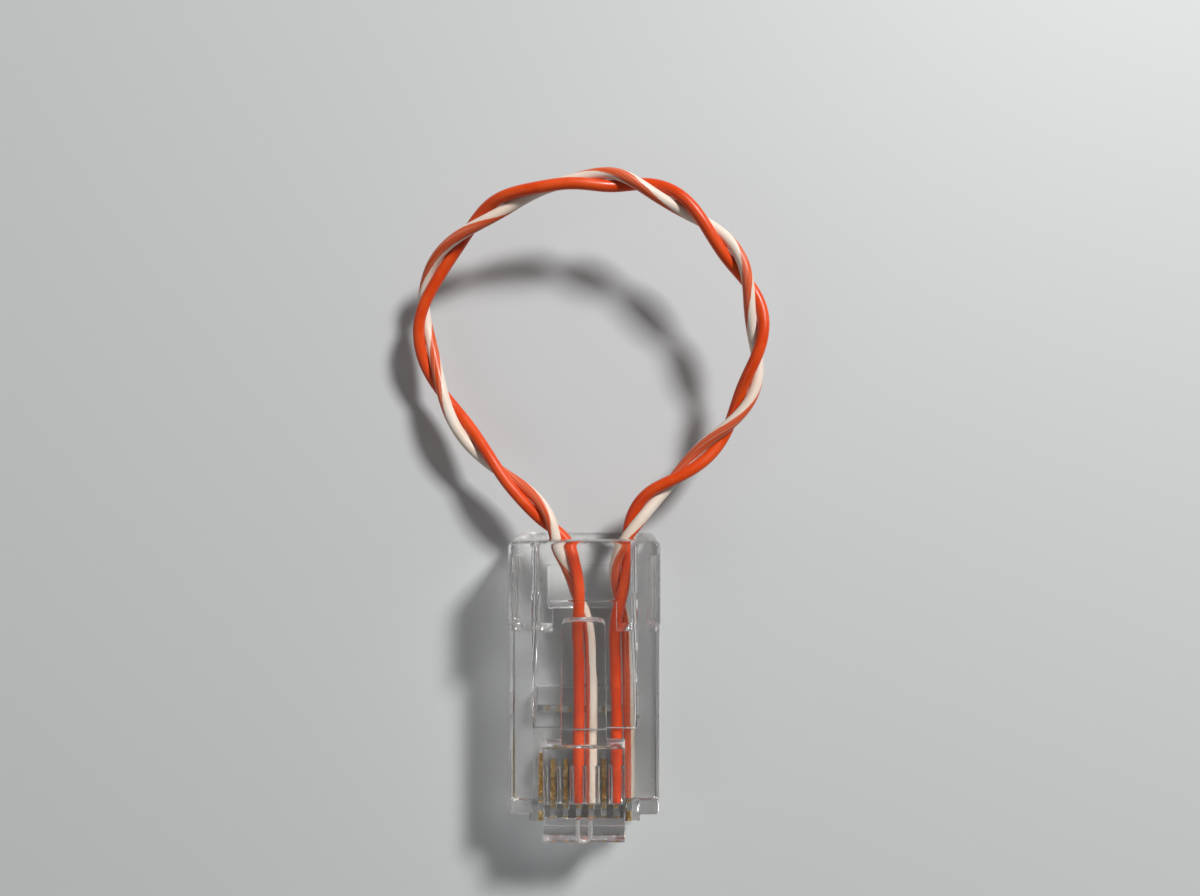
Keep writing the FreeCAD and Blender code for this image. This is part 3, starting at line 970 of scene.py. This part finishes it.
# %% Hand the materials out
FROST_TO = 1.3  # mm behind the hinge, short of the bead's cut ends


def wear(piece, *materials):
    """Gives the piece these materials, one for each slot."""
    for material in materials:
        piece.data.materials.append(material)


def faces_on_bead(piece):
    """1 for each face that is on the bead, and 0 for the others."""
    centres = np.zeros(3 * len(piece.data.polygons))
    piece.data.polygons.foreach_get("center", centres)
    across, ahead, above = (centres.reshape(-1, 3) - hinge).T / MM
    tilt = math.radians(LEVER_ANGLE)
    height = above * math.cos(tilt) - ahead * math.sin(tilt)
    on_bead = (height > GATE_TOP) & (np.abs(across) < GATE_W / 2) & (ahead < FROST_TO)
    return on_bead.astype(np.int32)


wear(wires["orange_wire"], orange, copper)
wear(wires["white_wire"], white, copper)
for piece in blades:
    wear(piece, gold)
moulding.data.materials.clear()
wear(moulding, clear, frost)
slot_of_face = faces_on_bead(moulding)
moulding.data.polygons.foreach_set("material_index", slot_of_face)
print("materials", len(bpy.data.materials), "faces on the bead", slot_of_face.sum())

# %% [markdown]
# ## The floor
# The plug lies on a plain pale floor. A hair's breadth of air stays between them, because
# clear plastic that shares a plane with the floor would have no lower face of its own.

# %% Floor
FLOOR_SPAN = 1.2  # metres
FLOOR_COLOUR = (0.57, 0.58, 0.58, 1)
FLOOR_ROUGH = 0.6
AIR = 0.03  # mm of air under the plug

half = FLOOR_SPAN / 2
corners = np.array([(-half, -half), (half, -half), (half, half), (-half, half)])
level = np.full(len(corners), -AIR * MM)
floor = new_piece("floor", np.c_[corners, level], [range(len(corners))])
pale = principled("pale_floor", Base_Color=FLOOR_COLOUR, Roughness=FLOOR_ROUGH)[0]
wear(floor, pale)
print("floor", FLOOR_SPAN, "m wide")

# %% [markdown]
# ## Lamps and sky
# One soft lamp stands to the upper right, where the shadow in the photograph says the light
# came from, a weaker one fills from the left, and an even sky lightens the rest.

# %% Lamps and sky
AIM = (0, 0.015, 0)  # metres
LAMPS = {  # place and size in metres, power in watts
    "key": ((0.2, 0.25, 0.3), 0.075, 2.0),
    "fill": ((-0.3, -0.1, 0.35), 0.3, 0.2),
}
SKY_COLOUR = (0.9, 0.92, 0.95, 1)
SKY_STRENGTH = 0.13


def lamp(name, at, size, power):
    """A square lamp, aimed at the plug."""
    data = bpy.data.lights.new(name, "AREA")
    data.size = size
    data.energy = power
    holder = bpy.data.objects.new(name, data)
    holder.location = at
    holder.rotation_euler = (Vector(AIM) - Vector(at)).to_track_quat("-Z", "Y").to_euler()
    bpy.context.scene.collection.objects.link(holder)


for name, settings in LAMPS.items():
    lamp(name, *settings)
world = bpy.data.worlds.new("studio")
bpy.context.scene.world = world
world.use_nodes = True
background = world.node_tree.nodes["Background"]
background.inputs["Color"].default_value = SKY_COLOUR
background.inputs["Strength"].default_value = SKY_STRENGTH
bpy.context.scene.view_settings.view_transform = "Standard"
print("lamps", len(bpy.data.lights))

# %% [markdown]
# ### Long light paths
# Clear plastic passes light on from wall to wall many times, so the limits on light paths are
# raised: with the usual ones, the inner walls of the plug end up black and the glints on its
# edges dull.

# %% Light paths
LIGHT_STEPS = 32  # how often a light path may be passed on

paths = bpy.context.scene.cycles
paths.max_bounces = paths.glossy_bounces = paths.transmission_bounces = LIGHT_STEPS
paths.transparent_max_bounces = LIGHT_STEPS
paths.sample_clamp_indirect = 0
print("light paths of up to", paths.max_bounces, "steps")
